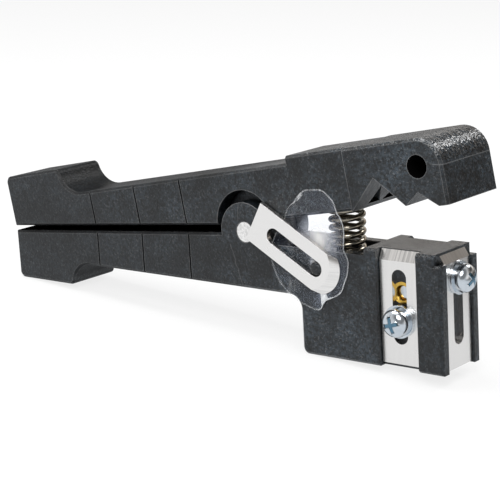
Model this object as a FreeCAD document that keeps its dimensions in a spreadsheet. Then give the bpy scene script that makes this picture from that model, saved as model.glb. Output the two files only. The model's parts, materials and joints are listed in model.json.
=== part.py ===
"""Cable jacket stripper: two sprung arms, a V-notched jaw and a block of sliding blades.

Millimetres. Each piece is drawn about the hinge: +X runs to the jaws, +Y to the back and +Z up, with
the lower arm level and the upper arm shut parallel to it. The last section opens the upper arm, leans
the tool on its finger stop and block, and puts the origin under the middle of its box.
"""
import FreeCAD, Part
import math
import os
import re
import Sketcher

# Name, size and meaning of each driving dimension, in millimetres, degrees or a plain count.
SIZES = [
    ("arm_width", 15.6, "width of both arms"),
    ("handle_reach", 80.2, "hinge to the handle ends"),
    ("lower_depth", 13.7, "hinge to the lower handle's underside"),
    ("upper_depth", 14.8, "hinge to the upper handle's top"),
    ("lower_slit_near", 0.8, "hinge level down to the lower handle's inner face, at the ears"),
    ("lower_slit_far", 6.9, "hinge level down to the lower handle's inner face, at its end"),
    ("upper_slit_near", 2.3, "hinge level up to the upper handle's inner face, at the ears"),
    ("upper_slit_far", 8.4, "hinge level up to the upper handle's inner face, at its end"),
    ("stop_length", 20.7, "length of the finger stop and the thumb stop"),
    ("finger_stop_height", 6.0, "finger stop below the lower handle"),
    ("thumb_stop_height", 6.8, "thumb stop above the upper handle"),
    ("corner_round", 1.6, "round of the stops' outer corners and the block's heel"),
    ("edge_bevel", 0.6, "bevel along the outer edges of both arms"),
    ("neck_reach", 15.7, "hinge to the block's heel side"),
    ("neck_round", 3.5, "round between handle and block"),
    ("block_base", 27.6, "hinge down to the block's base"),
    ("block_reach", 54.5, "hinge to the end lips"),
    ("block_lead", 8.4, "start of the block's top ahead of the side blades' middle"),
    ("block_top", 0.4, "hinge level down to the block's top"),
    ("end_lip_drop", 2.3, "end lips below the block's top"),
    ("well_wall_drop", 1.7, "spring well walls below the block's top"),
    ("ear_radius", 7.2, "round of the lower arm's hinge ears"),
    ("ear_thickness", 4.2, "thickness of each ear"),
    ("tongue_radius", 7.0, "round of the upper arm's hinge tongue"),
    ("tongue_gap", 0.3, "side play of the tongue between the ears"),
    ("tongue_clearance", 0.3, "play under the tongue beyond the ear radius"),
    ("cutout_radius", 8.6, "round of the upper arm's cut-outs over the ears"),
    ("cutout_shift", 0.5, "cut-out centre ahead of the hinge"),
    ("cutout_rise", 1.5, "cut-out centre above the hinge"),
    ("pin_radius", 2.5, "hinge pin"),
    ("pin_running_gap", 0.05, "radial play of the tongue on the hinge pin"),
    ("pin_inset", 0.1, "hinge pin ends below the ears' faces"),
    ("channel_set_back", 11.7, "end lips back to the middle of the side blades"),
    ("channel_depth", 2.4, "depth of the side channels"),
    ("end_channel_depth", 1.8, "depth of the end channel"),
    ("channel_play", 0.2, "play at each side of a blade in its channel"),
    ("blade_width", 10.2, "width of a blade"),
    ("blade_thickness", 1.2, "thickness of a blade"),
    ("blade_length", 26.2, "length of a blade"),
    ("blade_bevel", 2.4, "height of the ground bevel"),
    ("blade_edge_drop", 0.1, "side blades' cutting edges below the block's top"),
    ("blade_slot_width", 3.8, "width of a blade's slot"),
    ("blade_slot_length", 17.2, "length of a blade's slot"),
    ("blade_slot_margin", 4.3, "cutting edge to the slot"),
    ("end_edge_drop", 0.6, "end blade's cutting edge below the block's top"),
    ("end_blade_bevel", 1.9, "height of the end blade's bevel"),
    ("end_slot_margin", 3.8, "end blade's cutting edge to its slot"),
    ("nose_radius", 6.4, "round nose of the spare blade"),
    ("screw_radius", 1.75, "shank of the blade screws"),
    ("screw_length", 12.7, "shank length of the side screws"),
    ("end_screw_length", 9.5, "shank length of the end screw"),
    ("screw_head_radius", 3.3, "pan head"),
    ("screw_head_height", 2.4, "pan head"),
    ("screw_head_rim", 1.1, "straight rim of the pan head"),
    ("recess_length", 3.8, "cross recess, tip to tip"),
    ("recess_width", 1.0, "cross recess"),
    ("recess_depth", 1.3, "cross recess"),
    ("front_screw_drop", 16.6, "hinge level down to the front screw"),
    ("rear_screw_drop", 10.4, "hinge level down to the rear screw"),
    ("end_screw_drop", 6.7, "hinge level down to the end screw"),
    ("washer_radius", 3.8, "flat washer"),
    ("washer_thickness", 0.8, "flat washer"),
    ("lock_washer_radius", 3.2, "split lock washer"),
    ("lock_washer_thickness", 0.9, "split lock washer"),
    ("lock_washer_split", 0.7, "gap in the lock washer"),
    ("washer_play", 0.15, "washer holes round the shank"),
    ("clamp_play", 0.03, "play of a blade under its slackened washer"),
    ("insert_radius", 2.6, "threaded insert"),
    ("thread_gap", 0.05, "radial play of a screw in its insert"),
    ("end_insert_length", 7.0, "end insert"),
    ("well_start", 17.6, "hinge to the spring wells"),
    ("upper_well_end", 32.4, "hinge to the upper well's far wall"),
    ("well_width", 10.6, "width of the spring wells"),
    ("lower_well_floor", 15.5, "hinge level down to the lower well's floor"),
    ("upper_well_roof", 13.2, "hinge level up to the upper well's roof"),
    ("spring_reach", 24.5, "hinge to the spring"),
    ("lower_anchor_drop", 11.0, "hinge level down to the lower spring pin"),
    ("upper_anchor_rise", 9.2, "hinge level up to the upper spring pin"),
    ("anchor_radius", 1.0, "spring pins"),
    ("anchor_seat", 1.5, "depth of the spring pins' seats"),
    ("coil_radius", 3.7, "spring, to the middle of its wire"),
    ("wire_radius", 0.7, "spring wire"),
    ("coil_turns", 10.5, "turns of the spring"),
    ("hook_play", 0.05, "spring hooks off their pins"),
    ("head_start", 16.3, "hinge to the raised head"),
    ("head_height", 16.5, "hinge to the head's top"),
    ("jaw_start", 34.3, "hinge to the wide jaw"),
    ("jaw_reach", 59.8, "hinge to the jaw's end"),
    ("jaw_width", 20.2, "width of the jaw"),
    ("jaw_corner", 6.2, "round of the jaw's top corner"),
    ("jaw_under", 2.2, "hinge level up to the jaw's underside"),
    ("jaw_lip", 0.75, "jaw's end lip below its underside"),
    ("notch_depth", 6.9, "depth of the large cable notch"),
    ("notch_half", 7.3, "half width of the large cable notch"),
    ("window_side", 5.0, "middle to the upright side of each window in the large notch"),
    ("window_web", 0.6, "half width of the web between the windows, at their foot"),
    ("window_foot", 0.9, "jaw's underside up to the windows"),
    ("window_height", 3.7, "height of the windows"),
    ("window_top", 1.0, "upright side of a window in to its top"),
    ("window_depth", 1.0, "windows beyond the foot of the notch"),
    ("small_notch_depth", 2.6, "depth of the small cable notch"),
    ("small_notch_run", 3.7, "tooth to the small notch's bottom"),
    ("lip_run", 4.8, "small notch's bottom to the end lip"),
    ("hang_hole_radius", 2.5, "hanging hole"),
    ("hang_hole_reach", 53.5, "hinge to the hanging hole"),
    ("hang_hole_rise", 10.4, "hinge level up to the hanging hole"),
    ("mark_first", 17.9, "hinge to the first length mark"),
    ("mark_pitch", 15.7, "length marks apart"),
    ("mark_width", 0.5, "length marks, V grooves"),
    ("mark_depth", 0.5, "length marks, V grooves"),
    ("mark_count", 3, "length marks on each face"),
    ("peg_radius", 1.5, "peg of the spare blade"),
    ("peg_height", 1.2, "peg of the spare blade"),
    ("peg_reach", 21.5, "hinge to the peg"),
    ("peg_drop", 6.3, "hinge level down to the peg"),
    ("spare_angle", 119.0, "spare blade's nose, turned from upright"),
    ("spare_play", 0.05, "film off the arm's face, and spare blade off the film"),
    ("film_thickness", 0.12, "clear film under the spare blade"),
    ("film_half_width", 11.0, "clear film"),
    ("film_half_height", 14.0, "clear film"),
    ("film_reach", 20.2, "hinge to the film's middle"),
    ("film_drop", 2.2, "hinge level down to the film's middle"),
    ("open_angle", 10.0, "upper arm's opening as the tool is shown"),
]
ALIASES = {alias for alias, size, meaning in SIZES}
SHEET_NAME = "Sizes"

# Sizes that follow from the driving ones, as expressions of the sheet.
HALF_ARM = "(arm_width / 2)"
HALF_JAW = "(jaw_width / 2)"
CHANNEL_WIDTH = "(blade_width + 2 * channel_play)"
CHANNEL_MID = "(block_reach - channel_set_back)"
BLOCK_START = "(block_reach - channel_set_back - block_lead)"
CORE_HALF = "(arm_width / 2 - channel_depth)"
CORE_END = "(block_reach - end_channel_depth)"
TONGUE_WIDTH = "(arm_width - 2 * ear_thickness - 2 * tongue_gap)"
STOP_BOTTOM = "(-lower_depth - finger_stop_height)"
STOP_TOP = "(upper_depth + thumb_stop_height)"
TOOTH_REACH = "(jaw_start + 2 * notch_half)"
SCREW_SEAT = "(blade_thickness + clamp_play + washer_thickness + lock_washer_thickness)"
UPPER_ANCHOR_REACH = "((spring_reach + upper_anchor_rise * sin(open_angle)) / cos(open_angle))"
UPPER_ANCHOR_LEVEL = "(spring_reach * tan(open_angle) + upper_anchor_rise / cos(open_angle))"
HOOK_OFFSET = "(coil_radius - wire_radius - anchor_radius - hook_play)"
ANCHOR_LENGTH = "(well_width + 2 * anchor_seat)"
UP = FreeCAD.Vector(0, 0, 1)
# Steps of the spring wire, in degrees, and corners of its section.
WIRE_STEP = 40
WIRE_CORNERS = 6
# How near an edge counts as lying in a plane.
TOLERANCE = 1e-4

doc = FreeCAD.newDocument("cable_jacket_stripper")
sheet = doc.addObject("Spreadsheet::Sheet", SHEET_NAME)
for row, (alias, size, meaning) in enumerate(SIZES, start=1):
    sheet.set("A%d" % row, alias)
    sheet.set("B%d" % row, str(size))
    sheet.set("C%d" % row, meaning)
    sheet.setAlias("B%d" % row, alias)
doc.recompute()


def number(text):
    """Value of an expression of the sheet's names."""
    return float(sheet.evalExpression(text))


def bound(text):
    """The same expression, as another object of the document reads it."""
    def with_sheet(word):
        name = word.group()
        return SHEET_NAME + "." + name if name in ALIASES else name
    return re.sub(r"[a-z_]\w*", with_sheet, text)


def bind(obj, prop, text):
    """Ties a property to an expression of the sheet."""
    obj.setExpression(prop, bound(text))


def origin_feature(body, role):
    """One of a body's own planes or axes."""
    return [feature for feature in body.Origin.OriginFeatures if feature.Role == role][0]


class Profile:
    """A sketch on one of its body's planes, with every point held by an expression of the sheet."""

    def __init__(self, body, name, plane, offset=None):
        self.sketch = body.newObject("Sketcher::SketchObject", name)
        self.sketch.AttachmentSupport = [(origin_feature(body, plane), "")]
        self.sketch.MapMode = "FlatFace"
        if offset:
            bind(self.sketch, "AttachmentOffset.Base.z", offset)

    def hold(self, geometry, position, across=None, up=None):
        """Ties a point to the sheet. A text of 0 puts it on that axis, and None leaves it free."""
        for kind, text, axis in (("DistanceX", across, -2), ("DistanceY", up, -1)):
            if text == "0":
                self.sketch.addConstraint(Sketcher.Constraint("PointOnObject", geometry, position, axis))
            elif text:
                index = self.sketch.addConstraint(
                    Sketcher.Constraint(kind, -1, 1, geometry, position, number(text)))
                bind(self.sketch, "Constraints[%d]" % index, text)

    def circle(self, across, up, radius):
        """A full circle."""
        centre = FreeCAD.Vector(number(across), number(up), 0)
        index = self.sketch.addGeometry(Part.Circle(centre, UP, number(radius)), False)
        self.hold(index, 3, across, up)
        constraint = self.sketch.addConstraint(Sketcher.Constraint("Radius", index, number(radius)))
        bind(self.sketch, "Constraints[%d]" % constraint, radius)
        return self

    def outline(self, corners):
        """A closed outline. A corner is (across, up) and a straight run to the next one, or
        (across, up, centre across, centre up, turn) and an arc to it: turn is 1 for an arc that
        runs anticlockwise and -1 for one that runs clockwise."""
        points = [FreeCAD.Vector(number(corner[0]), number(corner[1]), 0) for corner in corners]
        first = self.sketch.GeometryCount
        count = len(corners)
        ends = []
        for index, corner in enumerate(corners):
            start = points[index]
            finish = points[(index + 1) % count]
            if len(corner) == 2:
                self.sketch.addGeometry(Part.LineSegment(start, finish), False)
                ends.append((1, 2))
            else:
                ends.append(self.add_arc(start, finish, *corner[2:]))
        for index in range(count):
            following = (index + 1) % count
            self.sketch.addConstraint(Sketcher.Constraint(
                "Coincident", first + index, ends[index][1], first + following, ends[following][0]))
        for index, corner in enumerate(corners):
            self.hold(first + index, ends[index][0], corner[0], corner[1])
            if len(corner) > 2:
                self.hold(first + index, 3, up=corner[3])
        return self

    def add_arc(self, start, finish, centre_across, centre_up, turn):
        """Adds an arc and says which of its points are its first and last along the outline."""
        centre = FreeCAD.Vector(number(centre_across), number(centre_up), 0)
        circle = Part.Circle(centre, UP, start.distanceToPoint(centre))
        angles = [math.atan2(point.y - centre.y, point.x - centre.x) for point in (start, finish)]
        if turn < 0:
            angles.reverse()
        if angles[1] <= angles[0]:
            angles[1] += 2 * math.pi
        self.sketch.addGeometry(Part.ArcOfCircle(circle, angles[0], angles[1]), False)
        return (1, 2) if turn > 0 else (2, 1)

    def stadium(self, radius, low, high):
        """An upright slot about the middle: half rounds about the levels low and high."""
        return self.outline([
            (radius, low), (radius, high, "0", high, 1),
            ("-" + radius, high), ("-" + radius, low, "0", low, 1),
        ])

    def box(self, low_across, low_up, high_across, high_up):
        """An upright rectangle."""
        return self.outline([(low_across, low_up), (high_across, low_up),
                             (high_across, high_up), (low_across, high_up)])


def new_body(label):
    body = doc.addObject("PartDesign::Body", label)
    body.Label = label
    return body


def pad(body, profile, length, symmetric=True):
    """Adds a sketch's solid to the body, both ways from its plane or along its normal."""
    feature = body.newObject("PartDesign::Pad", profile.sketch.Name + "_pad")
    feature.Profile = profile.sketch
    feature.SideType = "Symmetric" if symmetric else "One side"
    bind(feature, "Length", length)
    doc.recompute()
    return feature


def pocket(body, profile, length, symmetric=True, reverse=False, slant=None):
    """Cuts a sketch out of the body, straight or along a slant, and makes sure that it cut something."""
    before = body.Shape.Volume
    feature = body.newObject("PartDesign::Pocket", profile.sketch.Name + "_pocket")
    feature.Profile = profile.sketch
    feature.SideType = "Symmetric" if symmetric else "One side"
    feature.Reversed = reverse
    if slant:
        feature.UseCustomVector = True
        feature.Direction = slant
    bind(feature, "Length", length)
    doc.recompute()
    if body.Shape.Volume >= before:
        raise RuntimeError("%s cut nothing" % feature.Name)
    return feature


def mirrored(body, features):
    """Repeats features on the other side of the tool's middle plane."""
    mirror = body.newObject("PartDesign::Mirrored", features[0].Name + "_mirror")
    mirror.Originals = features
    mirror.MirrorPlane = (origin_feature(body, "XZ_Plane"), [""])
    body.Tip = mirror
    doc.recompute()


def repeated(body, features, pitch, count):
    """Repeats features along -X."""
    pattern = body.newObject("PartDesign::LinearPattern", features[0].Name + "_pattern")
    pattern.Originals = features
    pattern.Direction = (origin_feature(body, "X_Axis"), [""])
    pattern.Reversed = True
    pattern.Mode = "Spacing"
    bind(pattern, "Offset", pitch)
    bind(pattern, "Occurrences", count)
    body.Tip = pattern
    doc.recompute()


def edge_names(shape, chosen):
    """Names of the edges of a shape that the test picks."""
    return ["Edge%d" % (place + 1) for place, edge in enumerate(shape.Edges) if chosen(edge)]


def bevel_edges(body, chosen):
    """Bevels the edges of the body that the test picks, and those that run on smoothly from them."""
    base = body.Tip
    feature = body.newObject("PartDesign::Chamfer", base.Name + "_bevels")
    feature.Base = (base, edge_names(base.Shape, chosen))
    bind(feature, "Size", "edge_bevel")
    doc.recompute()


def on_side(edge, half_width):
    """True for an edge that lies in the plane of one of the tool's two sides."""
    box = edge.BoundBox
    flat = box.YLength < TOLERANCE
    return flat and abs(abs(box.YMin) - half_width) < TOLERANCE


def round_stop(body, across, up):
    """Rounds the inner corner of a finger or thumb stop, which runs across the tool at one point."""
    def stop_corner(edge):
        box = edge.BoundBox
        away = abs(box.Center.x - number(across)) + abs(box.Center.z - number(up))
        return away + box.XLength + box.ZLength < TOLERANCE

    base = body.Tip
    feature = body.newObject("PartDesign::Fillet", base.Name + "_stop")
    feature.Base = (base, edge_names(base.Shape, stop_corner))
    bind(feature, "Radius", "corner_round")
    doc.recompute()


def add_length_marks(body):
    """V grooves down both side faces of a handle."""
    marks = Profile(body, body.Name + "_mark", "XY_Plane")
    for side in ("", "-"):
        outside = "%s(%s + mark_depth)" % (side, HALF_ARM)
        bottom = "%s(%s - mark_depth)" % (side, HALF_ARM)
        marks.outline([("-mark_first - mark_width", outside), ("-mark_first", bottom),
                       ("-mark_first + mark_width", outside)])
    cut = pocket(body, marks, "2 * handle_reach")
    repeated(body, [cut], "mark_pitch", "mark_count")


def make_lower_arm():
    """Handle with finger stop, hinge ears, spring well and blade block, in one moulding."""
    body = new_body("lower_arm")
    ear_level = "(-block_top - well_wall_drop)"
    lip_level = "(-block_top - end_lip_drop)"
    stop_end = "(-handle_reach + stop_length)"
    curve_end = "(-handle_reach + stop_length + finger_stop_height)"
    outline = Profile(body, "lower_outline", "XZ_Plane").outline([
        ("-handle_reach + corner_round", STOP_BOTTOM),
        (stop_end, STOP_BOTTOM, curve_end, STOP_BOTTOM, -1),
        (curve_end, "-lower_depth"),
        ("neck_reach - neck_round", "-lower_depth",
         "neck_reach - neck_round", "-lower_depth - neck_round", -1),
        ("neck_reach", "-lower_depth - neck_round"),
        ("neck_reach", "-block_base + corner_round",
         "neck_reach + corner_round", "-block_base + corner_round", 1),
        ("neck_reach + corner_round", "-block_base"),
        ("block_reach", "-block_base"),
        ("block_reach", lip_level),
        (CORE_END, lip_level),
        (CORE_END, "-block_top"),
        (BLOCK_START, "-block_top"),
        (BLOCK_START, ear_level),
        ("sqrt(ear_radius ^ 2 - %s ^ 2)" % ear_level, ear_level, "0", "0", 1),
        ("-sqrt(ear_radius ^ 2 - lower_slit_near ^ 2)", "-lower_slit_near"),
        ("-handle_reach", "-lower_slit_far"),
        ("-handle_reach", STOP_BOTTOM + " + corner_round",
         "-handle_reach + corner_round", STOP_BOTTOM + " + corner_round", 1),
    ])
    pad(body, outline, "arm_width")

    def outer_edge(edge):
        centre = edge.BoundBox.Center
        heel = edge.BoundBox.XMin < number("neck_reach + corner_round / 2")
        under = centre.z < number("-lower_depth / 2") and heel
        top = centre.z > number("-block_top") - TOLERANCE and centre.x > number(BLOCK_START)
        picked = under or top or centre.x < number("-ear_radius") or centre.x > number(CORE_END)
        return on_side(edge, number(HALF_ARM)) and picked

    round_stop(body, stop_end, STOP_BOTTOM)
    bevel_edges(body, outer_edge)
    slot = Profile(body, "tongue_slot", "XZ_Plane").circle("0", "0", "ear_radius + tongue_clearance")
    pocket(body, slot, TONGUE_WIDTH + " + 2 * tongue_gap")
    pin_hole = Profile(body, "pin_hole", "XZ_Plane").circle("0", "0", "pin_radius")
    pocket(body, pin_hole, "2 * arm_width")
    well = Profile(body, "lower_well", "XZ_Plane").box(
        "well_start", "-lower_well_floor", BLOCK_START, "2 * ear_radius")
    pocket(body, well, "well_width")
    seat = Profile(body, "lower_anchor_seat", "XZ_Plane").circle(
        "spring_reach", "-lower_anchor_drop", "anchor_radius")
    pocket(body, seat, ANCHOR_LENGTH)
    channel_start = "(%s - %s / 2)" % (CHANNEL_MID, CHANNEL_WIDTH)
    channel_end = "(%s + %s / 2)" % (CHANNEL_MID, CHANNEL_WIDTH)
    side_channels = Profile(body, "side_channels", "XY_Plane")
    side_channels.box(channel_start, "-arm_width", channel_end, "-" + CORE_HALF)
    side_channels.box(channel_start, CORE_HALF, channel_end, "arm_width")
    pocket(body, side_channels, "2 * handle_reach")
    end_channel = Profile(body, "end_channel", "XY_Plane").box(
        CORE_END, "-%s / 2" % CHANNEL_WIDTH, "block_reach + end_channel_depth", CHANNEL_WIDTH + " / 2")
    pocket(body, end_channel, "2 * handle_reach")
    side_inserts = Profile(body, "side_insert_holes", "XZ_Plane")
    side_inserts.circle(CHANNEL_MID, "-front_screw_drop", "insert_radius")
    side_inserts.circle(CHANNEL_MID, "-rear_screw_drop", "insert_radius")
    pocket(body, side_inserts, "arm_width")
    end_insert = Profile(body, "end_insert_hole", "YZ_Plane", CORE_END).circle(
        "0", "-end_screw_drop", "insert_radius")
    pocket(body, end_insert, "end_insert_length", symmetric=False)
    peg = Profile(body, "spare_peg", "XZ_Plane", HALF_ARM).circle("peg_reach", "-peg_drop", "peg_radius")
    pad(body, peg, "peg_height", symmetric=False)
    add_length_marks(body)
    return body


def make_upper_arm():
    """Handle with thumb stop, hinge tongue, spring well and the wide V-notched jaw."""
    body = new_body("upper_arm")
    stop_end = "(-handle_reach + stop_length)"
    curve_end = "(-handle_reach + stop_length + thumb_stop_height)"
    jaw = Profile(body, "jaw_outline", "XZ_Plane").outline([
        ("jaw_start", "jaw_under"),
        ("jaw_start + notch_half", "jaw_under + notch_depth"),
        (TOOTH_REACH, "jaw_under"),
        (TOOTH_REACH + " + small_notch_run", "jaw_under + small_notch_depth"),
        (TOOTH_REACH + " + small_notch_run + lip_run", "jaw_under - jaw_lip"),
        ("jaw_reach", "jaw_under - jaw_lip"),
        ("jaw_reach", "head_height - jaw_corner",
         "jaw_reach - jaw_corner", "head_height - jaw_corner", 1),
        ("jaw_reach - jaw_corner", "head_height"),
        ("jaw_start", "head_height"),
    ])
    pad(body, jaw, "jaw_width")
    arm = Profile(body, "upper_outline", "XZ_Plane").outline([
        ("-handle_reach", "upper_slit_far"),
        ("-ear_radius", "upper_slit_near"),
        ("jaw_start", "jaw_under"),
        ("jaw_start", "head_height"),
        ("head_start", "head_height"),
        ("head_start", "upper_depth"),
        (curve_end, "upper_depth", curve_end, STOP_TOP, -1),
        (stop_end, STOP_TOP),
        ("-handle_reach + corner_round", STOP_TOP,
         "-handle_reach + corner_round", STOP_TOP + " - corner_round", 1),
        ("-handle_reach", STOP_TOP + " - corner_round"),
    ])
    pad(body, arm, "arm_width")

    def outer_edge(edge):
        box = edge.BoundBox
        top = box.ZMin > number("upper_depth") and box.Center.x > number("head_start") + TOLERANCE
        handle = on_side(edge, number(HALF_ARM)) and (top or box.Center.x < number("-ear_radius"))
        return handle or (top and on_side(edge, number(HALF_JAW)))

    round_stop(body, stop_end, STOP_TOP)
    bevel_edges(body, outer_edge)
    cutout = Profile(body, "ear_cutout", "XZ_Plane", TONGUE_WIDTH + " / 2").circle(
        "cutout_shift", "cutout_rise", "cutout_radius")
    cut = pocket(body, cutout, "arm_width", symmetric=False, reverse=True)
    mirrored(body, [cut])
    tongue = Profile(body, "tongue", "XZ_Plane").circle("0", "0", "tongue_radius")
    pad(body, tongue, TONGUE_WIDTH)
    bore = Profile(body, "tongue_bore", "XZ_Plane").circle("0", "0", "pin_radius + pin_running_gap")
    pocket(body, bore, "arm_width")
    well = Profile(body, "upper_well", "XZ_Plane").box(
        "well_start", "-ear_radius", "upper_well_end", "upper_well_roof")
    pocket(body, well, "well_width")
    seat = Profile(body, "upper_anchor_seat", "XZ_Plane").circle(
        UPPER_ANCHOR_REACH, "upper_anchor_rise", "anchor_radius")
    pocket(body, seat, ANCHOR_LENGTH)
    hole = Profile(body, "hang_hole", "XZ_Plane").circle(
        "hang_hole_reach", "hang_hole_rise", "hang_hole_radius")
    pocket(body, hole, "2 * jaw_width")
    windows = Profile(body, "notch_windows", "YZ_Plane", "jaw_start + notch_half")
    foot = "(jaw_under + window_foot)"
    for side in ("", "-"):
        windows.outline([(side + "window_side", foot), (side + "window_web", foot),
                         (side + "(window_side - window_top)", foot + " + window_height")])
    pocket(body, windows, "notch_half + window_depth", symmetric=False)
    add_length_marks(body)
    return body


def make_round_pin(label, radius, length):
    """A plain round pin across the tool."""
    body = new_body(label)
    pad(body, Profile(body, label + "_round", "XZ_Plane").circle("0", "0", radius), length)
    return body


def turn(body, section):
    """Turns a section once round its body's Y axis."""
    feature = body.newObject("PartDesign::Revolution", section.sketch.Name + "_turned")
    feature.Profile = section.sketch
    feature.ReferenceAxis = (origin_feature(body, "Y_Axis"), [""])
    feature.Angle = 360
    doc.recompute()


def slot_blade(body, margin):
    """Cuts the long slot that a blade slides along, a margin below its edge."""
    top = "(-%s - blade_slot_width / 2)" % margin
    bottom = "(-%s - blade_slot_length + blade_slot_width / 2)" % margin
    slot = Profile(body, body.Name + "_slot", "XZ_Plane").stadium("(blade_slot_width / 2)", bottom, top)
    pocket(body, slot, "4 * blade_thickness")


def make_blade(label, height, margin):
    """A slotted blade with a straight edge: edge at the origin and up, back face on Y = 0."""
    body = new_body(label)
    outline = Profile(body, label + "_outline", "XZ_Plane").box(
        "-blade_width / 2", "-blade_length", "blade_width / 2", "0")
    pad(body, outline, "blade_thickness", symmetric=False)
    slot_blade(body, margin)
    bevel = Profile(body, label + "_bevel", "YZ_Plane").outline([
        ("0", "0"),
        ("-blade_thickness", "-" + height),
        ("-2 * blade_thickness", "-" + height),
        ("-2 * blade_thickness", "0"),
    ])
    pocket(body, bevel, "2 * blade_width")
    return body


def make_round_blade(label):
    """A slotted blade with a round edge, which the grinding sets back evenly across the thickness."""
    body = new_body(label)
    half = "(blade_width / 2)"
    shoulder = "(sqrt(nose_radius ^ 2 - %s ^ 2) - nose_radius)" % half
    outline = Profile(body, label + "_outline", "XZ_Plane").outline([
        ("-" + half, "-blade_length"),
        (half, "-blade_length"),
        (half, shoulder, "0", "-nose_radius", 1),
        ("-" + half, shoulder),
    ])
    pad(body, outline, "blade_thickness", symmetric=False)
    slot_blade(body, "blade_slot_margin")
    ground = shoulder + " - blade_bevel"
    bevel = Profile(body, label + "_bevel", "XZ_Plane", "blade_thickness").outline([
        (half, ground, "0", "-nose_radius - blade_bevel", 1),
        ("-" + half, ground),
        ("-blade_width", ground),
        ("-blade_width", "blade_width"),
        ("blade_width", "blade_width"),
        ("blade_width", ground),
    ])
    slant = FreeCAD.Vector(0, number("blade_thickness"), number("blade_bevel"))
    pocket(body, bevel, "2 * blade_thickness", symmetric=False, slant=slant)
    return body


def make_screw(label, length):
    """Pan head screw with a cross recess: seat at Y = 0, shank to +Y."""
    body = new_body(label)
    section = Profile(body, label + "_section", "XY_Plane").outline([
        ("0", "-screw_head_height"),
        ("screw_head_radius / 2", "-screw_head_height"),
        ("screw_head_radius", "-screw_head_rim"),
        ("screw_head_radius", "0"),
        ("screw_radius", "0"),
        ("screw_radius", length),
        ("0", length),
    ])
    turn(body, section)
    reach = "(recess_length / 2)"
    half = "(recess_width / 2)"
    recess = Profile(body, label + "_recess", "XZ_Plane", "screw_head_height").outline([
        ("-" + reach, "-" + half), ("-" + half, "-" + half), ("-" + half, "-" + reach),
        (half, "-" + reach), (half, "-" + half), (reach, "-" + half),
        (reach, half), (half, half), (half, reach),
        ("-" + half, reach), ("-" + half, half), ("-" + reach, half),
    ])
    pocket(body, recess, "recess_depth", symmetric=False)
    return body


def make_ring(label, outer, inner, thickness, split=None):
    """A washer or sleeve from Y = 0 towards -Y, with a radial gap where one is named."""
    body = new_body(label)
    ring = Profile(body, label + "_ring", "XZ_Plane").circle("0", "0", outer).circle("0", "0", inner)
    pad(body, ring, thickness, symmetric=False)
    if split:
        gap = Profile(body, label + "_gap", "XZ_Plane").box(
            "-%s / 2" % split, "0", split + " / 2", "2 * " + outer)
        pocket(body, gap, "4 * " + thickness)
    return body


def make_film():
    """Clear film under the spare blade: a thin oval from Y = 0 towards -Y, with a hole for the peg."""
    body = new_body("retaining_film")
    level = "(film_half_height - film_half_width)"
    outline = Profile(body, "film_outline", "XZ_Plane").stadium("film_half_width", "-" + level, level)
    outline.circle("peg_reach - film_reach", "film_drop - peg_drop", "peg_radius + spare_play")
    pad(body, outline, "film_thickness", symmetric=False)
    return body


def coil_point(degrees, up, upright=False):
    """A point of the spring's wire: on the level round of its coil, or on the upright round of a hook."""
    across = number("coil_radius") * math.cos(math.radians(degrees))
    other = number("coil_radius") * math.sin(math.radians(degrees))
    return FreeCAD.Vector(across, 0, up + other) if upright else FreeCAD.Vector(across, other, up)


def make_spring():
    """Extension spring along Z: an open coil with half-round hooks, lofted along its wire."""
    coil_length = number("%s + lower_anchor_drop - 2 * %s" % (UPPER_ANCHOR_LEVEL, HOOK_OFFSET))
    turns = number("coil_turns")
    steps = round(turns * 360 / WIRE_STEP)
    wire = [coil_point(angle, 0, True) for angle in range(180 + WIRE_STEP, 360, WIRE_STEP)]
    wire += [coil_point(360 * turns * step / steps, coil_length * step / steps) for step in range(steps + 1)]
    wire += [coil_point(angle, coil_length, True) for angle in range(180 - WIRE_STEP, 0, -WIRE_STEP)]
    side = FreeCAD.Vector(0, 1, 0)
    sections = []
    for index, point in enumerate(wire):
        along = wire[min(index + 1, len(wire) - 1)] - wire[max(index - 1, 0)]
        along.normalize()
        side = side - along * side.dot(along)
        side.normalize()
        ring = []
        for corner in range(WIRE_CORNERS + 1):
            turned = FreeCAD.Rotation(along, 360 * corner / WIRE_CORNERS).multVec(side)
            ring.append(point + turned * number("wire_radius"))
        sections.append(Part.makePolygon(ring))
    spring = doc.addObject("Part::Feature", "jaw_spring")
    spring.Label = "jaw_spring"
    spring.Shape = Part.makeLoft(sections, True, True)
    return spring


def rotation(axis, degrees):
    return FreeCAD.Rotation(FreeCAD.Vector(*axis), degrees)


def place(across=0.0, back=0.0, up=0.0, turned=FreeCAD.Rotation()):
    return FreeCAD.Placement(FreeCAD.Vector(across, back, up), turned)


half_arm = number(HALF_ARM)
core_half = number(CORE_HALF)
core_end = number(CORE_END)
channel_mid = number(CHANNEL_MID)
to_back = rotation((0, 0, 1), 180)
to_end = rotation((0, 0, 1), 90)

# Sub-parts of the lower arm, each with its place about the hinge.
lower = {}
lower["lower_arm"] = (make_lower_arm(), place())
lower["pivot_pin"] = (make_round_pin("pivot_pin", "pin_radius", "arm_width - 2 * pin_inset"), place())
lower["lower_spring_pin"] = (
    make_round_pin("lower_spring_pin", "anchor_radius", ANCHOR_LENGTH),
    place(number("spring_reach"), 0, -number("lower_anchor_drop")))
lower["jaw_spring"] = (
    make_spring(), place(number("spring_reach"), 0, number("-lower_anchor_drop + " + HOOK_OFFSET)))

# Blade, washers, screw and insert of each seat of the block: origin on the seat, front face to -Y.
seats = [
    ("front", place(channel_mid, -core_half, 0), "front_screw_drop", "screw_length"),
    ("rear", place(channel_mid, core_half, 0, to_back), "rear_screw_drop", "screw_length"),
    ("end", place(core_end, 0, 0, to_end), "end_screw_drop", "end_screw_length"),
]
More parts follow.
